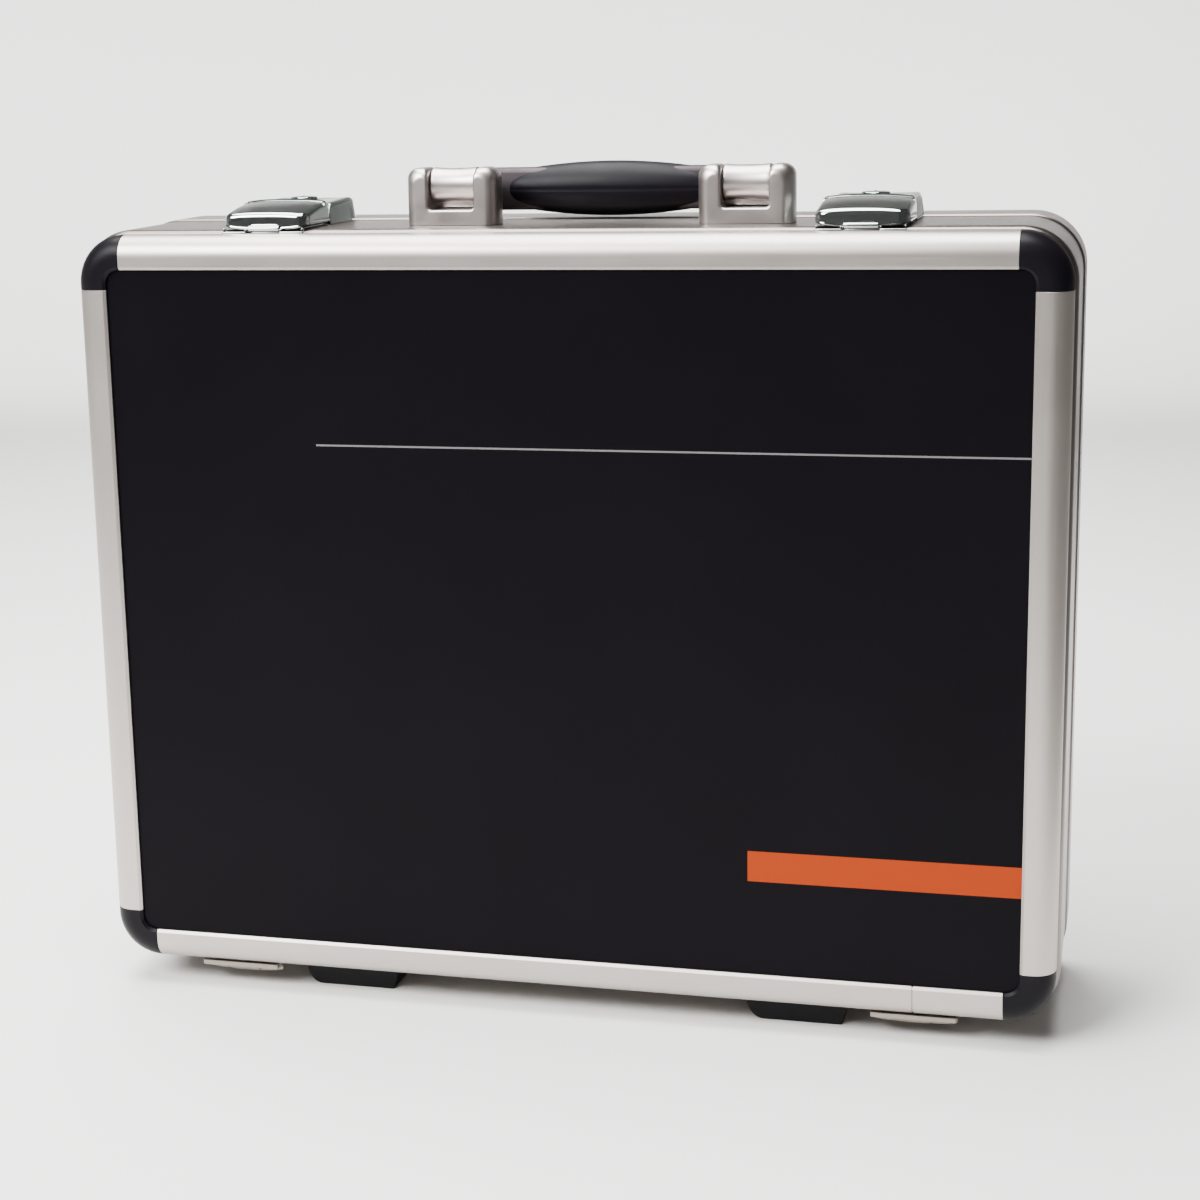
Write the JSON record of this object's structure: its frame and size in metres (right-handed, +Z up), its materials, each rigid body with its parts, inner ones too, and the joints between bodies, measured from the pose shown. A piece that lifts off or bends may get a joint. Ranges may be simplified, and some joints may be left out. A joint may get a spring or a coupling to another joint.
{
  "type": "microphone case",
  "caption": "Hard attache-style microphone case: framed black panels, hinged lid, key latches, folding handle, foam tray with pockets, rubber feet.",
  "frame": {"origin": "under the middle of the case, on the surface that it stands on", "axes": "+X across the case, +Y from the lid's face to the back, +Z up"},
  "size_m": [0.445, 0.12, 0.3838],
  "materials": {
    "frame_aluminium": "satin",
    "laminate": "satin",
    "corner_plastic": "matte",
    "latch_chrome": "polished",
    "hinge_nickel": "satin",
    "bracket_nickel": "satin",
    "handle_steel": "satin",
    "grip_plastic": "satin",
    "foot_rubber": "matte",
    "foam": "matte"
  },
  "bodies": {
    "base": {"base_band": "frame_aluminium", "base_rear_frame": "frame_aluminium", "base_back_panel": "laminate", "base_foam_floor": "foam", "base_foam_tray": "foam", "foot_front_left": "foot_rubber", "foot_front_right": "foot_rubber", "foot_rear_left": "foot_rubber", "foot_rear_right": "foot_rubber", "hinge_base_leaf_left": "hinge_nickel", "hinge_pin_left": "hinge_nickel", "latch_plate_left": "latch_chrome", "latch_housing_left": "latch_chrome", "latch_pin_left": "hinge_nickel", "handle_bracket_left": "bracket_nickel", "handle_pin_left": "bracket_nickel", "hinge_base_leaf_right": "hinge_nickel", "hinge_pin_right": "hinge_nickel", "latch_plate_right": "latch_chrome", "latch_housing_right": "latch_chrome", "latch_pin_right": "hinge_nickel", "handle_bracket_right": "bracket_nickel", "handle_pin_right": "bracket_nickel"},
    "lid": {"lid_rail_left": "frame_aluminium", "lid_rail_right": "frame_aluminium", "lid_rail_top": "frame_aluminium", "lid_rail_bottom": "frame_aluminium", "lid_corner_top_left": "corner_plastic", "lid_corner_top_right": "corner_plastic", "lid_corner_bottom_left": "corner_plastic", "lid_corner_bottom_right": "corner_plastic", "lid_panel": "laminate", "lid_foam": "foam", "hinge_lid_leaf_left": "hinge_nickel", "latch_keeper_left": "latch_chrome", "hinge_lid_leaf_right": "hinge_nickel", "latch_keeper_right": "latch_chrome"},
    "latch_lever_left": {"latch_lever_left": "latch_chrome"},
    "latch_hook_left": {"latch_hook_left": "latch_chrome"},
    "latch_lock_left": {"latch_lock_left": "latch_chrome"},
    "latch_lever_right": {"latch_lever_right": "latch_chrome"},
    "latch_hook_right": {"latch_hook_right": "latch_chrome"},
    "latch_lock_right": {"latch_lock_right": "latch_chrome"},
    "handle": {"handle_bar": "handle_steel", "handle_grip": "grip_plastic"}
  },
  "joints": [
    {"name": "lid_hinge", "type": "hinge", "parent": "base", "child": "lid", "pos_m": [0, -0.04545, 0.008], "axis": [1, 0, 0], "range_deg": [0, 90]},
    {"name": "handle_fold", "type": "hinge", "parent": "base", "child": "handle", "pos_m": [0.014, -0.014, 0.3748], "axis": [1, 0, 0], "range_deg": [0, 90]},
    {"name": "latch_lift_left", "type": "hinge", "parent": "base", "child": "latch_lever_left", "pos_m": [-0.1325, -0.018, 0.3636], "axis": [-1, 0, 0], "range_deg": [0, 70]},
    {"name": "hook_lift_left", "type": "hinge", "parent": "base", "child": "latch_hook_left", "pos_m": [-0.1325, -0.018, 0.3636], "axis": [-1, 0, 0], "range_deg": [0, 26]},
    {"name": "lock_turn_left", "type": "hinge", "parent": "base", "child": "latch_lock_left", "pos_m": [-0.1325, 0.007, 0.3674], "axis": [0, 0, 1], "range_deg": [0, 90]},
    {"name": "latch_lift_right", "type": "hinge", "parent": "base", "child": "latch_lever_right", "pos_m": [0.1325, -0.018, 0.3636], "axis": [-1, 0, 0], "range_deg": [0, 70]},
    {"name": "hook_lift_right", "type": "hinge", "parent": "base", "child": "latch_hook_right", "pos_m": [0.1325, -0.018, 0.3636], "axis": [-1, 0, 0], "range_deg": [0, 26]},
    {"name": "lock_turn_right", "type": "hinge", "parent": "base", "child": "latch_lock_right", "pos_m": [0.1325, 0.007, 0.3674], "axis": [0, 0, 1], "range_deg": [0, 90]}
  ],
  "couplings": [
    {"joint": "hook_lift_left", "follows": "latch_lift_left", "ratio": 0.36},
    {"joint": "hook_lift_right", "follows": "latch_lift_right", "ratio": 0.36}
  ]
}
